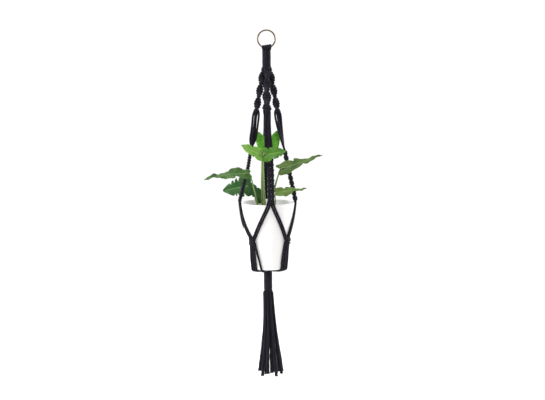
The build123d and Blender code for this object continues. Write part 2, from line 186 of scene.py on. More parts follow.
class Surface:
    """Cords gathered into one mesh."""

    def __init__(self):
        self.points, self.faces, self.uvs, self.count = [], [], [], 0

    def add(self, points, faces, uvs):
        """More points, the faces between them and each face corner's place on the material."""
        self.points.append(points)
        self.faces += [[i + self.count for i in face] for face in faces]
        self.uvs += uvs
        self.count += len(points)

    def cord(self, path, width=CORD, thick=None, away=None, plies=3, ends=(1.0, 1.0), swelling=None,
             sides=SIDES, step=STEP, phase=0.0):
        """A laid cord along path. away is the direction of thick, at each point of path."""
        path = np.asarray(path, float)
        thick = width if thick is None else thick
        runs = np.linalg.norm(np.diff(path, axis=0), axis=1)
        along = np.concatenate([[0], np.cumsum(runs)])
        count = max(4, int(round(along[-1] / step)) + 1)
        at = np.linspace(0, along[-1], count)
        middle = np.column_stack([np.interp(at, along, path[:, i]) for i in range(3)])
        tangent = unit(np.gradient(middle, axis=0))
        if away is None:
            up = np.empty_like(tangent)
            up[0] = unit(np.cross(tangent[0], (0.3, 0.9, 0.2)))
            for i in range(1, count):
                up[i] = up[i - 1] - tangent[i] * (up[i - 1] @ tangent[i])
                up[i] /= np.linalg.norm(up[i])
        else:
            up = np.column_stack([np.interp(at, along, np.asarray(away)[:, i]) for i in range(3)])
            up = unit(up - tangent * np.sum(up * tangent, axis=1, keepdims=True))
        side = np.cross(tangent, up)
        turn = np.linspace(0, 2 * math.pi, sides, endpoint=False)
        lay = 2 * math.pi * at / PLY_TWIST + phase
        share = at / at[-1]
        swell = ends[0] + (ends[1] - ends[0]) * share
        depth = PLY_GROOVE * np.ones(count)
        if swelling is not None:
            swell = np.interp(share, *zip(*swelling))
            depth += 0.25 * np.clip(swell - 1.1, 0, 1)
        ply = np.abs(np.cos((turn[None, :] - lay[:, None]) * plies / 2)) ** 0.7 if plies else 1.0
        radius = swell[:, None] * (1 - depth[:, None] * (1 - ply))
        points = (middle[:, None, :] + side[:, None, :] * (radius * np.cos(turn) * width / 2)[..., None]
                  + up[:, None, :] * (radius * np.sin(turn) * thick / 2)[..., None]).reshape(-1, 3)
        faces, uvs = [], []
        for i in range(count - 1):
            for j in range(sides):
                k = (j + 1) % sides
                faces.append((i * sides + j, i * sides + k, (i + 1) * sides + k, (i + 1) * sides + j))
                v0, v1 = j / sides, (j + 1) / sides
                t0, t1 = lay[i] / (2 * math.pi), lay[i + 1] / (2 * math.pi)
                u0, u1 = at[i] / CORD, at[i + 1] / CORD
                uvs += [(u0, v0 - t0), (u0, v1 - t0), (u1, v1 - t1), (u1, v0 - t1)]
        for first, order in ((0, -1), ((count - 1) * sides, 1)):
            faces.append([first + j for j in range(sides)][::order])
            uvs += [(at[0] / CORD, j / sides) for j in range(sides)]
        self.add(points, faces, uvs)

    def build(self, name, material):
        """The piece made of everything added."""
        mesh = bpy.data.meshes.new(name)
        mesh.from_pydata(np.vstack(self.points).tolist(), [], self.faces)
        layer = mesh.uv_layers.new(name="UVMap")
        layer.data.foreach_set("uv", np.asarray(self.uvs, np.float32).ravel())
        mesh.polygons.foreach_set("use_smooth", [True] * len(mesh.polygons))
        mesh.materials.append(material)
        mesh.validate()
        piece = bpy.data.objects.new(name, mesh)
        bpy.context.scene.collection.objects.link(piece)
        return piece


# ---------------------------------------------------------------- materials


class Nodes:
    """A material's node tree with short ways to add to it."""

    def __init__(self, name, **inputs):
        self.material = bpy.data.materials.new(name)
        self.material.use_nodes = True
        self.tree = self.material.node_tree
        self.shader = self.tree.nodes["Principled BSDF"]
        for key, value in inputs.items():
            self.shader.inputs[key.replace("_", " ")].default_value = value

    def node(self, kind, **settings):
        """A node, with values for its sockets or its own settings."""
        made = self.tree.nodes.new(kind)
        for key, value in settings.items():
            if key in made.inputs:
                made.inputs[key].default_value = value
            else:
                setattr(made, key, value)
        return made

    def link(self, a, b):
        self.tree.links.new(a, b)

    def noise(self, source, scale, detail, rough=0.6):
        made = self.node("ShaderNodeTexNoise", Scale=scale, Detail=detail, Roughness=rough)
        self.link(source, made.inputs["Vector"])
        return made.outputs["Fac"]

    def ramp(self, fac, *stops):
        """A colour ramp from pairs of place and colour."""
        made = self.node("ShaderNodeValToRGB")
        ramp = made.color_ramp
        while len(ramp.elements) < len(stops):
            ramp.elements.new(0.5)
        for element, (place, colour) in zip(ramp.elements, stops):
            element.position = place
            element.color = (*colour, 1)
        self.link(fac, made.inputs["Fac"])
        return made.outputs["Color"]

    def maths(self, operation, a, b):
        made = self.node("ShaderNodeMath", operation=operation)
        for place, value in enumerate((a, b)):
            if isinstance(value, (int, float)):
                made.inputs[place].default_value = value
            else:
                self.link(value, made.inputs[place])
        return made.outputs["Value"]

    def mix(self, fac, a, b, blend="MIX"):
        made = self.node("ShaderNodeMix", data_type="RGBA", blend_type=blend)
        for socket, value in ((made.inputs[0], fac), (made.inputs[6], a), (made.inputs[7], b)):
            if isinstance(value, (int, float)):
                socket.default_value = value
            elif isinstance(value, tuple):
                socket.default_value = (*value, 1)
            else:
                self.link(value, socket)
        return made.outputs[2]

    def bump(self, height, distance, strength):
        made = self.node("ShaderNodeBump", Strength=strength, Distance=distance)
        self.link(height, made.inputs["Height"])
        self.link(made.outputs["Normal"], self.shader.inputs["Normal"])

    def colour(self, output):
        self.link(output, self.shader.inputs["Base Color"])


def cotton():
    """Black cotton: fibres that follow the plies, a soft sheen and uneven dye."""
    m = Nodes("cotton_cord", Roughness=0.88, Sheen_Weight=0.12, Sheen_Roughness=0.45, Specular_IOR_Level=0.1)
    m.shader.inputs["Sheen Tint"].default_value = (0.75, 0.75, 0.9, 1)
    place = m.node("ShaderNodeTexCoord")
    stretch = m.node("ShaderNodeMapping")
    stretch.inputs["Scale"].default_value = (1.2, 26, 1)
    m.link(place.outputs["UV"], stretch.inputs["Vector"])
    fibre = m.noise(stretch.outputs["Vector"], 2.2, 5)
    dye = m.noise(place.outputs["Object"], 55, 3)
    fuzz = m.noise(place.outputs["Object"], 1600, 2)
    base = m.ramp(fibre, (0.25, (0.0027, 0.0026, 0.0038)), (0.55, (0.009, 0.0082, 0.0125)),
                  (0.85, (0.032, 0.028, 0.042)))
    shade = m.ramp(dye, (0.3, (0.75, 0.75, 0.78)), (0.7, (1.15, 1.12, 1.15)))
    m.colour(m.mix(1.0, base, shade, "MULTIPLY"))
    m.bump(m.maths("ADD", m.maths("MULTIPLY", fibre, 0.7), m.maths("MULTIPLY", fuzz, 0.35)), 0.0006, 0.9)
    return m.material


def brass():
    """Antique brass: a worn, slightly tarnished wire."""
    m = Nodes("brass", Metallic=1.0)
    place = m.node("ShaderNodeTexCoord").outputs["Object"]
    tarnish = m.noise(place, 140, 5)
    fine = m.noise(place, 900, 3)
    m.colour(m.ramp(tarnish, (0.3, (0.088, 0.07, 0.048)), (0.55, (0.15, 0.12, 0.084)),
                    (0.8, (0.24, 0.195, 0.135))))
    m.link(m.ramp(fine, (0.3, (0.26, 0.26, 0.26)), (0.7, (0.46, 0.46, 0.46))), m.shader.inputs["Roughness"])
    m.bump(fine, 0.0002, 0.3)
    return m.material


def ceramic():
    """White pot: a matte glaze, faintly uneven, with painted light on the inner wall, which is painted whiter
    than the outer glaze.
    """
    m = Nodes("pot_glaze", Specular_IOR_Level=0.4)
    place = m.node("ShaderNodeTexCoord").outputs["Object"]
    cloud = m.noise(place, 14, 4)
    grain = m.noise(place, 700, 3)
    outside = m.ramp(cloud, (0.3, (0.675, 0.66, 0.65)), (0.7, (0.715, 0.70, 0.69)))
    split = m.node("ShaderNodeSeparateXYZ")
    m.link(place, split.inputs["Vector"])
    x, y, z = split.outputs
    radius = m.maths("SQRT", m.maths("ADD", m.maths("MULTIPLY", x, x), m.maths("MULTIPLY", y, y)), 0.0)
    taper = (RIM_RADIUS - BASE_RADIUS) / (RIM_Z - BASE_Z)
    wall = m.maths("ADD", m.maths("MULTIPLY", z, taper), pot_radius(0))
    centimetres_in = m.maths("MULTIPLY", m.maths("SUBTRACT", wall, radius), 100.0)
    # Painted light: from about 1.2 to 3 mm in from the outer wall the colour turns to a whiter white (0.93),
    # so the pot's inner wall looks brighter than the outer glaze.
    painted_light_inner_wall = m.ramp(centimetres_in, (0.12, (0, 0, 0)), (0.3, (1, 1, 1)))
    m.colour(m.mix(painted_light_inner_wall, outside, (0.93, 0.93, 0.91)))
    m.link(m.ramp(grain, (0.3, (0.36, 0.36, 0.36)), (0.7, (0.55, 0.55, 0.55))), m.shader.inputs["Roughness"])
    m.bump(m.maths("ADD", m.maths("MULTIPLY", cloud, 2.5), grain), 0.0003, 0.25)
    return m.material


def earth():
    """Potting soil: dark crumbs with lighter fibres and grit."""
    m = Nodes("soil", Roughness=0.97)
    place = m.node("ShaderNodeTexCoord").outputs["Object"]
    crumb = m.noise(place, 260, 6, 0.7)
    grit = m.noise(place, 900, 2)
    base = m.ramp(crumb, (0.3, (0.012, 0.008, 0.005)), (0.6, (0.05, 0.032, 0.02)),
                  (0.85, (0.12, 0.085, 0.055)))
    m.colour(m.mix(m.ramp(grit, (0.70, (0, 0, 0)), (0.74, (1, 1, 1))), base, (0.42, 0.38, 0.32)))
    m.bump(crumb, 0.002, 0.8)
    return m.material


LEAF_GREENS = {  # deep green, plain green and the veins' green
    "light": ((0.085, 0.205, 0.02), (0.15, 0.32, 0.045), (0.28, 0.45, 0.12)),
    "fresh": ((0.022, 0.09, 0.002), (0.05, 0.155, 0.004), (0.14, 0.29, 0.03)),
    "bright": ((0.04, 0.18, 0.006), (0.10, 0.32, 0.018), (0.25, 0.48, 0.08)),
    "olive": ((0.035, 0.07, 0.009), (0.075, 0.125, 0.022), (0.18, 0.25, 0.08)),
    "pale": ((0.062, 0.12, 0.018), (0.13, 0.21, 0.045), (0.28, 0.38, 0.13)),
    "middle": ((0.022, 0.063, 0.010), (0.055, 0.125, 0.022), (0.15, 0.24, 0.08)),
    "dark": ((0.010, 0.043, 0.008), (0.027, 0.09, 0.017), (0.10, 0.19, 0.06)),
}
LEAF_GLOW = (0.4, 1.0, 0.2)  # green light goes deepest


def leaf_skin(kind):
    """A waxy leaf: pale midrib, side veins, and green that varies between them."""
    deep, plain, vein = LEAF_GREENS[kind]
    m = Nodes(f"leaf_{kind}", Roughness=0.42, Specular_IOR_Level=0.28, Subsurface_Weight=0.1,
              Subsurface_Scale=0.003, Subsurface_Radius=LEAF_GLOW, Coat_Weight=0.05, Coat_Roughness=0.25)
    coords = m.node("ShaderNodeTexCoord")
    split = m.node("ShaderNodeSeparateXYZ")
    m.link(coords.outputs["UV"], split.inputs["Vector"])
    across = m.maths("ABSOLUTE", m.maths("SUBTRACT", split.outputs["Y"], 0.5), 0.0)
    rib = m.ramp(across, (0.0, (1, 1, 1)), (0.018, (0.7, 0.7, 0.7)), (0.05, (0, 0, 0)))
    slant = m.maths("SUBTRACT", m.maths("MULTIPLY", split.outputs["X"], 9.0),
                    m.maths("MULTIPLY", across, 7.0))
    wave = m.maths("ABSOLUTE", m.maths("SUBTRACT", m.maths("FRACT", slant, 0.0), 0.5), 0.0)
    veins = m.ramp(wave, (0.0, (0.75, 0.75, 0.75)), (0.05, (0.15, 0.15, 0.15)), (0.12, (0, 0, 0)))
    patch = m.noise(coords.outputs["Object"], 60, 4)
    base = m.mix(m.ramp(patch, (0.3, (0, 0, 0)), (0.7, (1, 1, 1))), deep, plain)
    lines = m.maths("MAXIMUM", rib, veins)
    m.colour(m.mix(m.maths("MULTIPLY", lines, 0.8), base, vein))
    m.bump(m.maths("SUBTRACT", m.maths("MULTIPLY", patch, 0.3), m.maths("MULTIPLY", lines, 0.6)), 0.0008, 0.6)
    return m.material


def stalk_skin():
    """A leaf stalk: pale green with faint lengthwise streaks."""
    m = Nodes("leaf_stalk", Roughness=0.42, Subsurface_Weight=0.15, Subsurface_Scale=0.002,
              Subsurface_Radius=LEAF_GLOW)
    coords = m.node("ShaderNodeTexCoord")
    stretch = m.node("ShaderNodeMapping")
    stretch.inputs["Scale"].default_value = (0.15, 9, 1)
    m.link(coords.outputs["UV"], stretch.inputs["Vector"])
    streak = m.noise(stretch.outputs["Vector"], 2, 4)
    m.colour(m.ramp(streak, (0.3, (0.08, 0.15, 0.03)), (0.6, (0.16, 0.24, 0.065)),
                    (0.85, (0.32, 0.38, 0.17))))
    m.bump(streak, 0.0004, 0.4)
    return m.material


def plain_stage():
    """The pale floor."""
    m = Nodes("stage", Roughness=0.9)
    place = m.node("ShaderNodeTexCoord").outputs["Object"]
    m.colour(m.ramp(m.noise(place, 3, 2), (0.3, (0.965, 0.965, 0.965)), (0.7, (0.975, 0.975, 0.975))))
    return m.material


COTTON, BRASS, CERAMIC, EARTH, STALK_SKIN = cotton(), brass(), ceramic(), earth(), stalk_skin()
LEAF_SKINS = {kind: leaf_skin(kind) for kind in LEAF_GREENS}


def settle(piece, body, slot, *nodes):
    """The piece rides on a body and stands for CAD nodes, which it hides; slot is not used."""
    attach(piece, body)
    if nodes:
        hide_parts(*nodes)


# ---------------------------------------------------------------- hanger


def ring_loops():
    """Eight cords folded over the ring's wire, in two layers."""
    loops = Surface()
    rng = np.random.default_rng(3)
    for layer in range(2):
        for place in (-1.5, -0.5, 0.5, 1.5):
            x = (place * LOOP_PITCH + (0.5 if layer else -0.5) + rng.uniform(-0.2, 0.2)) * MM
            top = RING_FOOT_Z + 0.6 * (RING_RADIUS - math.sqrt(RING_RADIUS**2 - x**2))
            bend = LOOP_CREST + LOOP_TILT * x - LOOP_LAYER * (1 - layer) - top
            turn = np.linspace(0, math.pi, 22)
            arch = [(x, -bend * math.cos(t), top + bend * math.sin(t)) for t in turn]
            neck = bend * 0.7
            low = UPPER_WRAP[0] - 8 * MM
            front = [(x * 0.55, -neck * 0.7, low), (x * 0.82, -neck, UPPER_WRAP[0] - 1 * MM)]
            back = [(x * 0.82, neck, UPPER_WRAP[0] - 1 * MM), (x * 0.55, neck * 0.7, low)]
            path = smooth([*front, *arch[::3], *back], 12)
            away = path - np.array((x, 0, top))
            loops.cord(path, 6.1 * MM, 3.7 * MM, away, phase=rng.uniform(0, 6))
    settle(loops.build("folded_cords", COTTON), "hanger", "cotton_cord", "ring_loops")


def wrap(name, top, bottom, *nodes):
    """A gathering wrap: one cord wound in close turns, its ends tucked in."""
    coil = Surface()
    turns = round((top - bottom) / WRAP_TURN)
    turn = np.linspace(-0.25, turns + 0.25, turns * 40)
    height = top - (top - bottom) * (np.clip(turn, 0, turns) * (turns - 1) / turns + 0.5) / turns
    middle = WRAP_RADIUS - WRAP_CORD_THICK / 2
    tuck = np.clip(np.maximum(-turn, turn - turns), 0, 1) * 8 * MM
    radius = middle - tuck + 0.12 * MM * np.sin(turn * 5.1)
    angle = 2 * math.pi * turn + 0.8
    path = np.column_stack([radius * np.cos(angle), radius * np.sin(angle), height])
    away = np.column_stack([np.cos(angle), np.sin(angle), np.zeros_like(angle)])
    coil.cord(path, WRAP_CORD_WIDE, WRAP_CORD_THICK, away)
    for number in range(5):
        a = 2 * math.pi * number / 5
        x, y = 4.2 * MM * math.cos(a), 4.2 * MM * math.sin(a)
        line = [(x, y, z) for z in (top, (top + bottom) / 2, bottom)]
        coil.cord(smooth(line, 6), 5.2 * MM)
    settle(coil.build(name, COTTON), "hanger", "cotton_cord", *nodes)


def leg_frame(angle, high, low):
    """A run of a leg: its top, its direction down, across it and out of its face."""
    start, end = around(angle, high[0], 0, high[1]), around(angle, low[0], 0, low[1])
    down = unit(end - start)
    across = around(angle, 0, 1, 0)
    return start, down, across, np.cross(down, across), float(np.linalg.norm(end - start))


def leg_spiral(side, angle):
    """Half knots tied one way: two working cords wind round the fillers, and the whole knot turns."""
    surface = Surface()
    start, down, across, face, length = leg_frame(angle, LEG_TOP, SPIRAL_END)
    per_knot = length / HALF_KNOTS
    s = np.linspace(-0.6, HALF_KNOTS + 0.3, int(HALF_KNOTS * 20))
    centre = start + down * (s * per_knot)[:, None]
    out = LEG_TOP[0] + (SPIRAL_END[0] - LEG_TOP[0]) * s / HALF_KNOTS
    major = -math.pi * (centre[:, 2] - BULGE_Z) / BULGE_PITCH
    wide = np.clip(0.95 * out - 2.4 * MM, 3.2 * MM, 7.5 * MM)
    wide = wide * (1 - 0.55 * np.clip((s - HALF_KNOTS + 1) / 1.2, 0, 1) ** 1.5)
    narrow = np.minimum(wide, 2.8 * MM)
    for hand in (0, math.pi):
        theta = -(math.pi * s + hand)
        x = wide * np.sign(np.cos(theta)) * np.abs(np.cos(theta)) ** 0.7
        y = narrow * np.sin(theta)
        east = x * np.cos(major) - y * np.sin(major)
        north = x * np.sin(major) + y * np.cos(major)
        offset = across * east[:, None] + face * north[:, None]
        surface.cord(centre + offset, 5.9 * MM, 5.2 * MM, offset)
    surface.cord(centre[::10], 4.6 * MM, step=3 * MM)
    settle(surface.build(f"spiral_{side}", COTTON), "hanger", "cotton_cord", f"leg_spiral_{side}")


def open_cords(side, angle, bottom):
    """The four cords between the spiral and the flat sennit: a flat row that turns, or closes up."""
    surface = Surface()
    top_out, top_z = SPIRAL_END
    low_out, low_z = bottom
    for number, (spread, depth) in enumerate(OPEN_CORDS):
        points = [(top_out + spread * 0.45, 0, top_z + 3 * MM), (top_out + spread * 0.8, 0, top_z - 4 * MM)]
        if side in ("front", "back"):
            points = [(top_out, 0.5 * spread, top_z + 3 * MM), (top_out, 0.6 * spread, top_z - 4 * MM)]
        for share in (0.14, 0.3, 0.5, 0.7, 0.86, 1.0):
            height = top_z + (low_z - top_z) * share
            row = (number - 1.5) * CORD_PITCH
            if side == "front":
                out, across = top_out + (low_out - top_out) * share, row * (0.6 + 0.45 * share**1.5)
                out, across = out + depth * (1 - share), across - FRONT_SWAY * math.sin(math.pi * share)
            elif side == "back":
                out = top_out + (low_out - top_out) * share + depth
                across = row * (0.35 + 0.6 * max(0, share - 0.5))
            else:
                out = top_out + (low_out - top_out) * share * (0.55 + 0.45 * share)
                turn = max(0.0, (share - 0.62) / 0.38) if side == "left" else share**1.1
                if side == "left":
                    turn = turn * turn * (3 - 2 * turn)
                swing = turn * math.pi / 2
                shift, reach = PARTED[side]
                parted = math.exp(-(((share - 0.22) / reach) ** 2))
                aside = (spread + shift[number] * parted) * (1 - 0.05 * math.sin(math.pi * share))
                behind = depth + (math.copysign(1.6 * MM, depth) * parted if shift[number] else 0)
                out, across = (out + aside * math.cos(swing),
                               row * math.sin(swing) + behind * math.cos(swing))
            points.append((out, across, height))
        sway = FRONT_SWAY if side == "front" else 0
        points.append((low_out, (number - 1.5) * CORD_PITCH + sway * 0.4, low_z - 4 * MM))
        line = smooth([around(angle, *point) for point in points], 10)
        wide = (6.4 if side in ("front", "back") else 6.0) * MM
        surface.cord(line, wide, 5.6 * MM, phase=2 * number)
    settle(surface.build(f"open_cords_{side}", COTTON), "hanger", "cotton_cord", f"leg_cords_{side}")


def square_knots(surface, start, down, across, face, half_knots, tall, wide, deep, bunch, pinch,
                 sway=0.0):
    """Square knots from start: one cord crosses the front each time, the other the back.

    A half knot is tall, and wide and deep measure its working cords' paths from its middle.
    """
    s = np.linspace(-0.08, half_knots + 0.08, int(half_knots * 26))
    fall = tall * (s + 0.13 * np.sin(2 * math.pi * s) + bunch * np.sin(math.pi * s))
    cross = np.abs(np.sin(math.pi * s))
    for hand, layer in ((1, 1), (-1, -1)):
        reach = wide * (1 - pinch * (1 + np.cos(math.pi * s)))
        x = hand * reach * np.cos(math.pi * s)
        y = layer * deep * cross**0.55 - layer * 0.9 * MM * (1 - cross)
        x = x + sway * np.sin(math.pi * (0.12 + 0.76 * s / half_knots))
        path = start + down * fall[:, None] + across * x[:, None] + face * y[:, None]
        away = face * (layer * cross)[:, None] + across * (hand * np.cos(math.pi * s) * (1 - cross))[:, None]
        surface.cord(path, 5.8 * MM, 5.0 * MM, away, phase=hand)
    for place in (-1, 1):
        line = [start + across * (place * 2.7 * MM + sway * math.sin(math.pi * (0.12 + 0.76 * share)))
                + down * (half_knots * tall * share) for share in np.linspace(-0.02, 1.02, 9)]
        surface.cord(np.array(line), 5.3 * MM)


def leg_sennit(side, angle, route):
    """Ten square knots one under the other."""
    surface = Surface()
    runs = [math.dist(a, b) for a, b in zip(route, route[1:])]
    tall = sum(runs) / (2 * SQUARE_KNOTS)
    for (high, low), run in zip(zip(route, route[1:]), runs):
        start, down, across, face, _ = leg_frame(angle, high, low)
        halves = max(2, round(run / tall / 2) * 2)
        deep, bunch, pinch = SENNITS.get(side, PLAIN_SENNIT)
        square_knots(surface, start, down, across, -face, halves, run / halves, 7.2 * MM, deep, bunch, pinch,
                     FRONT_SWAY if side == "front" else 0.0)
    settle(surface.build(f"flat_sennit_{side}", COTTON), "hanger", "cotton_cord", f"leg_sennit_{side}")


def cradle_pair(name, leg_angle, side, ease):
    """Two cords from a leg's end over the pot's wall to the knot beside it."""
    surface = Surface()
    knot_top = KNOT_Z + KNOT_TALL / 2
    for place in (-0.5, 0.5):
        points = []
        lead = (SPLIT_ACROSS + place * PAIR_PITCH) * 0.72
        points.append(around(leg_angle, LEG_END[0] - 0.6 * MM, side * lead, LEG_END[1] + 5 * MM))
        for share in np.linspace(0, 1, 9):
            height = SPLIT_Z + share * (knot_top - SPLIT_Z)
            out = pot_radius(height) + CORD_STAND
            start = math.degrees((SPLIT_ACROSS + place * PAIR_PITCH) / out)
            end = 45 - math.degrees((JOIN_ACROSS - place * PAIR_PITCH) / out)
            points.append(around(leg_angle + side * (start + share**ease * (end - start)), out, 0, height))
        last = pot_radius(knot_top - 5 * MM) + CORD_STAND + 1.0 * MM
        turn = 45 - math.degrees((0.75 * JOIN_ACROSS - place * 0.8 * PAIR_PITCH) / last)
        points.append(around(leg_angle + side * turn, last, 0, knot_top - 5 * MM))
        surface.cord(smooth(points, 8), phase=place)
    settle(surface.build(name, COTTON), "hanger", "cotton_cord", name)


def cradle_knot(number, angle):
    """A square knot that joins two legs against the pot's wall."""
    surface = Surface()
    top, foot = KNOT_Z + KNOT_TALL / 2 - 1.6 * MM, KNOT_Z - KNOT_TALL / 2 + 1.6 * MM
    start, down, across, face, length = leg_frame(
        angle, (pot_radius(top) + KNOT_STAND, top), (pot_radius(foot) + KNOT_STAND, foot))
    square_knots(surface, start, down, across, -face, 3, length / 3, 8.2 * MM, 3.5 * MM, 0.0, 0.08)
    settle(surface.build(f"joining_knot_{number}", COTTON), "hanger", "cotton_cord", f"cradle_knot_{number}")


def base_cords(number, angle, spread, fan):
    """Four cords from a knot down the wall, round the base's edge and in to the gather.

    fan is how wide they leave the knot, and spread is how far the last one stands off at the edge.
    """
    surface = Surface()
    slope = math.atan2(RIM_RADIUS - BASE_RADIUS, RIM_Z - BASE_Z)
    edge_z = BASE_Z + BASE_EDGE
    edge_out = pot_radius(edge_z) - BASE_EDGE / math.cos(slope)
    bend = BASE_EDGE + CORD_STAND
    top = KNOT_Z - KNOT_TALL / 2 + 4 * MM
    for place in (-1.5, -0.5, 0.5, 1.5):
        across = place * CORD_PITCH * fan
        low_across = place * 6.8 * MM + (spread if place == 1.5 else 0)
        stack = 2.4 * MM * (1 - fan) / 0.3 if place in (-0.5, 1.5) else 0
        bow = 1.6 * MM if place == -1.5 else 0
        profile = [(pot_radius(z) + CORD_STAND, z) for z in np.linspace(top, edge_z + 6 * MM, 8)]
        for turn in np.linspace(slope * 0.5, math.pi / 2, 6):
            profile.append((edge_out + bend * math.cos(turn), edge_z - bend * math.sin(turn)))
        under = edge_z - bend
        for out in np.linspace(edge_out - 6 * MM, 17 * MM, 5):
            profile.append((out, under - 0.11 * (edge_out - out)))
        profile += [(11.5 * MM, under - 4.2 * MM), (8.2 * MM, under - 6 * MM), (6.4 * MM, under - 10 * MM)]
        points = []
        for out, height in profile:
            if height > edge_z:
                share = (top - height) / (top - edge_z)
                sideways = across + (low_across - across) * share - bow * math.sin(math.pi * share)
                sideways += 0.25 * MM * math.sin(9 * share + place)
                out += stack * (1 - share)
            else:
                share = min(1.0, (edge_out - min(out, edge_out)) / (edge_out - 6 * MM))
                sideways = low_across + (0.42 * across - low_across) * share
            forward = math.sqrt(max(out**2 - sideways**2, (3 * MM) ** 2))
            points.append(around(angle, forward, sideways, height))
        surface.cord(smooth(points, 6), phase=2 * place)
    settle(surface.build(f"under_cords_{number}", COTTON), "hanger", "cotton_cord", f"base_cords_{number}")


def hanger():
    """Everything of cord from the ring down to the lower wrap."""
    ring_loops()
    wrap("wrap_upper", *UPPER_WRAP, "upper_wrap", "upper_core")
    wrap("wrap_lower", *LOWER_WRAP, "lower_wrap")
    for number, (side, angle) in enumerate(LEG_ANGLES.items()):
        route = (SENNIT_TOP, LEG_END) if side != "left" else (LEFT_SENNIT_TOP, LEFT_BEND, LEG_END)
        leg_spiral(side, angle)
        open_cords(side, angle, route[0])
        leg_sennit(side, angle, route)
        for pair, hand in enumerate((-1, 1)):
            ease = PAIR_EASE.get(side, PLAIN_EASE)
            cradle_pair(f"cradle_pair_{2 * number + pair + 1:02d}", angle, hand, ease)
        cradle_knot(number + 1, angle + 45)
        if side == "left":
            base_cords(number + 1, angle + 45, 8 * MM, 0.86)
        else:
            base_cords(number + 1, angle + 45, 1.5 * MM, 0.68)


# ---------------------------------------------------------------- tassel


def nurbs_line(points):
    """Close points along the smooth line that has these as its control points."""
    curve = bpy.data.curves.new("line", "CURVE")
    curve.dimensions = "3D"
    spline = curve.splines.new("NURBS")
    spline.points.add(len(points) - 1)
    for spline_point, point in zip(spline.points, points):
        spline_point.co = (*point, 1)
    spline.order_u = 3
    spline.use_endpoint_u = True
    spline.resolution_u = 24
    made = bpy.data.objects.new("line", curve)
    mesh = bpy.data.meshes.new_from_object(made)
    line = np.array([vertex.co for vertex in mesh.vertices])
    bpy.data.objects.remove(made)
    bpy.data.meshes.remove(mesh)
    return line


def hung(route):
    """A strand's route where it leans and stretches, more towards its tip, in metres."""
    line = []
    for x, y, z in route:
        share = (route[0][2] - z) / TASSEL_LENGTH
        lean = TASSEL_LEAN * math.sin(share * math.pi / 2)
        line.append(Vector((x + lean, y, z - TASSEL_STRETCH * share**2)) * MM)
    return line


def tassel():
    """Sixteen free strands, the bent stubs that lead them out of the wrap, and their frayed tips."""
    neck, frays = Surface(), Surface()
    rng = np.random.default_rng(11)
    tip_fibres, loose_fibres = 56, 12
    for number, route in enumerate(TASSEL_ROUTES):
        points = hung(route)
        line = nurbs_line(points)
        strand = Surface()
        strand.cord(line, STRAND, phase=number * 1.7, swelling=STRAND_SWELLING)
        piece = strand.build(f"strand_{number + 1:02d}", COTTON)
        settle(piece, "tassel", "cotton_cord", f"tassel_strand_{number + 1:02d}")
        x, y, z = points[0]
        stub = [(x * 0.42, y * 0.42, -0.660), (x * 0.55, y * 0.55, -0.668), (x * 0.8, y * 0.8, -0.6735),
                (x, y, z - 6 * MM)]
        neck.cord(smooth(stub, 8), STRAND * 1.03, ends=(0.85, 1.0), phase=number)
        tip, heading = line[-1], unit(line[-1] - line[-6])
        for _ in range(tip_fibres):
            a, r = rng.uniform(0, 2 * math.pi), math.sqrt(rng.uniform(0.05, 1)) * STRAND * 0.72
            sideways = np.array((math.cos(a), math.sin(a), 0))
            begin = tip - heading * 5 * MM + sideways * r
            reach = rng.uniform(5, 9) * MM
            end = begin + heading * (3 * MM + reach * 0.5) + sideways * rng.uniform(-0.5, 2.2) * MM
            middle = (begin + end) / 2 + rng.normal(0, 0.4 * MM, 3)
            frays.cord(smooth([begin, middle, end], 3), 0.8 * MM, plies=0, sides=3, step=1.6 * MM,
                       ends=(1.0, 0.4))
        for _ in range(loose_fibres):
            a, first = rng.uniform(0, 2 * math.pi), rng.uniform(0.4, 0.62)
            spots = []
            for share in np.linspace(first, rng.uniform(0.9, 1.0), 7):
                a += rng.uniform(-0.5, 0.5)
                off = rng.uniform(2.6, 4.6) * MM * min(1.0, 0.5 + 2 * (share - first))
                outward = np.array((math.cos(a), math.sin(a), 0))
                spots.append(line[int(share * (len(line) - 1))] + off * outward)
            frays.cord(smooth(spots, 4), 1.3 * MM, plies=0, sides=4, step=3 * MM, ends=(0.7, 0.6))
    piece = neck.build("tassel_neck", COTTON)
    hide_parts("base_gather")
    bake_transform(piece)
    settle(frays.build("frayed_tips", COTTON), "tassel", "cotton_cord")


# ---------------------------------------------------------------- plant


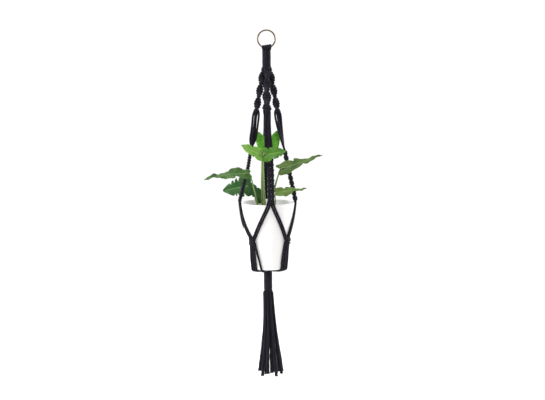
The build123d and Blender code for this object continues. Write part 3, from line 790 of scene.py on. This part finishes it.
def leaf_blade(foot, tip, width, face, wave, droop, slits, tail, lobes, seed):
    """A heart-shaped blade as a grid: points, faces and places on it from 0 to 1."""
    rows, cols = 96, 24
    rng = np.random.default_rng(seed)
    foot, tip = np.array(foot) * MM, np.array(tip) * MM
    along = tip - foot
    length = np.linalg.norm(along)
    along = along / length
    sideways = unit(np.cross(along, np.array(face)))
    normal = np.cross(sideways, along)
    half = width * MM / 2
    u = np.linspace(0, 1, rows)
    outline = half * (np.sin(math.pi * u**0.62) ** 0.72) * (1 - 0.25 * u)
    outer = np.clip((u - 0.3) / 0.3, 0, 1)
    outline *= 1 - tail * outer**2 * (3 - 2 * outer)
    outline = np.maximum(outline, 0.25 * MM)
    v = np.linspace(-1, 1, cols + 1)
    grid = np.zeros((rows, cols + 1, 3))
    phase = rng.uniform(0, 6, 4)
    for side in (-1, 1):
        notch = np.zeros(rows)
        for number in range(slits):
            place = 0.34 + 0.42 * (number + 0.5 * (side > 0)) / slits + rng.uniform(-0.03, 0.03)
            notch = np.maximum(notch, rng.uniform(0.5, 0.75) * np.exp(-np.abs(u - place) / 0.018))
        cols_here = (v * side) >= 0
        edge = np.abs(v[cols_here])[None, :]
        reach = outline[:, None] * edge * (1 - notch[:, None] * edge**3)
        back = lobes * length * (reach / half) ** 1.3 * (1 - u[:, None]) ** 2
        lean = 0.10 * length * edge * (u * (1 - u))[:, None]
        x = u[:, None] * length - back + lean
        cup = (0.16 - 0.108 * edge**3) * reach
        slow = edge**2 * np.sin(2 * math.pi * 2.3 * u[:, None] + phase[side])
        quick = 0.4 * edge**3 * np.sin(2 * math.pi * 6.1 * u[:, None] + phase[side + 1])
        arch = 1.2 * droop * length * (u * (1 - u))[:, None]
        z = cup + wave * half * (slow + quick) + arch
        grid[:, cols_here] = (foot + x[..., None] * along + (side * reach)[..., None] * sideways
                              + z[..., None] * normal)
    faces, uvs = [], []
    for i in range(rows - 1):
        for j in range(cols):
            faces.append((i * (cols + 1) + j, i * (cols + 1) + j + 1,
                          (i + 1) * (cols + 1) + j + 1, (i + 1) * (cols + 1) + j))
            u0, u1, v0, v1 = u[i], u[i + 1], j / cols, (j + 1) / cols
            uvs += [(u0, v0), (u0, v1), (u1, v1), (u1, v0)]
    return grid.reshape(-1, 3), faces, uvs, grid[:, cols // 2]


def leaf(name, seed, stalk_foot, bend, blade_foot, tip, width, face, kind, wave, droop, slits, tail, lobes,
         stalk_width):
    """A leaf: a thin blade and its stalk."""
    blade = Surface()
    points, faces, uvs, midrib = leaf_blade(blade_foot, tip, width, face, wave, droop, slits, tail, lobes,
                                          seed)
    blade.add(points, faces, uvs)
    piece = blade.build(name.replace("leaf_", "blade_"), LEAF_SKINS[kind])
    thick = piece.modifiers.new("thickness", "SOLIDIFY")
    thick.thickness, thick.offset = 0.55 * MM, 0
    settle(piece, "potted_plant", "leaf", name)
    stalk = Surface()
    foot = (stalk_foot[0] * MM, stalk_foot[1] * MM, SOIL_TOP - 6 * MM)
    under_root, under_rib = midrib[0] - (0, 0, 1.2 * MM), midrib[14] - (0, 0, 0.6 * MM)
    line = smooth([foot, np.array(bend) * MM, under_root, under_rib], 16)
    stalk.cord(line, stalk_width * MM, plies=0, sides=12, ends=(1.2, 0.6), step=3 * MM)
    made = stalk.build(name.replace("leaf_", "stalk_"), STALK_SKIN)
    settle(made, "potted_plant", "leaf")


def soil():
    """Loose potting soil with a crumbly top."""
    rng = np.random.default_rng(5)
    rings, spokes = 46, 150
    radius = pot_radius(SOIL_TOP) - 4.1 * MM
    lumps = rng.normal(0, 1, (rings, spokes))
    for _ in range(2):
        lumps = 0.5 * lumps + 0.25 * (np.roll(lumps, 1, 1) + np.roll(lumps, -1, 1))
    points, faces, uvs = [(0, 0, SOIL_TOP)], [], []
    for i in range(rings):
        r = radius * ((i + 1) / rings) ** 0.8
        for j in range(spokes):
            a = 2 * math.pi * j / spokes
            lift = 1.1 * MM * lumps[i, j] * min(1, 8 * (1 - i / rings)) - 1.5 * MM * (i / rings) ** 4
            points.append((r * math.cos(a), r * math.sin(a), SOIL_TOP + lift))
    skirt = len(points)
    points += [(radius * math.cos(2 * math.pi * j / spokes), radius * math.sin(2 * math.pi * j / spokes),
                SOIL_TOP - 12 * MM) for j in range(spokes)]
    for j in range(spokes):
        k = (j + 1) % spokes
        faces.append((0, 1 + j, 1 + k))
        uvs += [(0, 0)] * 3
        for i in range(rings - 1):
            faces.append((1 + i * spokes + j, 1 + (i + 1) * spokes + j, 1 + (i + 1) * spokes + k,
                          1 + i * spokes + k))
            uvs += [(0, 0)] * 4
        last = 1 + (rings - 1) * spokes
        faces.append((last + j, skirt + j, skirt + k, last + k))
        uvs += [(0, 0)] * 4
    faces.append([skirt + j for j in range(spokes)][::-1])
    uvs += [(0, 0)] * spokes
    top = Surface()
    top.add(np.array(points), faces, uvs)
    settle(top.build("potting_soil", EARTH), "potted_plant", "soil", "soil")


def plant():
    """The leaves and the soil they stand in."""
    soil()
    for seed, (name, sizes) in enumerate(LEAVES.items()):
        leaf(name, seed + 21, *sizes)


# ---------------------------------------------------------------- stage


def camera_and_light():
    """The camera stands level with the ring, a little to the left, and looks down at the pot."""
    distance, azimuth, height = 3.5, math.radians(6.3), -0.01
    right = Vector((math.cos(azimuth), -math.sin(azimuth), 0))
    target = 0.0129 * right + Vector((0, 0, -0.4345))
    data = bpy.data.cameras.new("camera")
    camera = bpy.data.objects.new("camera", data)
    camera.location = (-distance * math.sin(azimuth), -distance * math.cos(azimuth), height)
    look = (target - camera.location).to_track_quat("-Z", "Y")
    camera.rotation_euler = (look @ Quaternion((0, 0, 1), math.radians(-0.38))).to_euler()
    data.lens = 89.96
    data.sensor_width = 36
    data.clip_end = 50
    bpy.context.scene.collection.objects.link(camera)
    bpy.context.scene.camera = camera
    lights = (
        ("key", (-2.8, -0.6, 0.5), 0.9, 84),
        ("rim", (2.4, 1.2, 0.3), 0.9, 70),
        ("top", (-0.3, -0.5, 2.2), 1.4, 24),
    )
    for name, place, size, power in lights:
        lamp = bpy.data.lights.new(name, "AREA")
        lamp.size, lamp.energy = size, power
        made = bpy.data.objects.new(name, lamp)
        made.location = place
        made.rotation_euler = (Vector((0, 0, -0.45)) - Vector(place)).to_track_quat("-Z", "Y").to_euler()
        bpy.context.scene.collection.objects.link(made)
    world = bpy.data.worlds.new("world")
    world.use_nodes = True
    world.node_tree.nodes["Background"].inputs["Color"].default_value = (1, 1, 1, 1)
    world.node_tree.nodes["Background"].inputs["Strength"].default_value = 1.04
    bpy.context.scene.world = world
    bpy.context.scene.view_settings.view_transform = "Standard"


def floor():
    """A wide pale floor well below the tassel."""
    half, height = 14.0, -1.25
    mesh = bpy.data.meshes.new("floor")
    corners = [(-half, -half, height), (half, -half, height), (half, half, height), (-half, half, height)]
    mesh.from_pydata(corners, [], [(0, 1, 2, 3)])
    mesh.materials.append(plain_stage())
    made = bpy.data.objects.new("floor", mesh)
    bpy.context.scene.collection.objects.link(made)


def dress(node, material):
    """A CAD node keeps its shape and takes a better material."""
    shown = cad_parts[node]
    for slot in shown.material_slots:
        slot.material = material
    if not shown.material_slots:
        shown.data.materials.append(material)


camera_and_light()
floor()
dress("ring", BRASS)
dress("pot", CERAMIC)
hanger()
tassel()
plant()
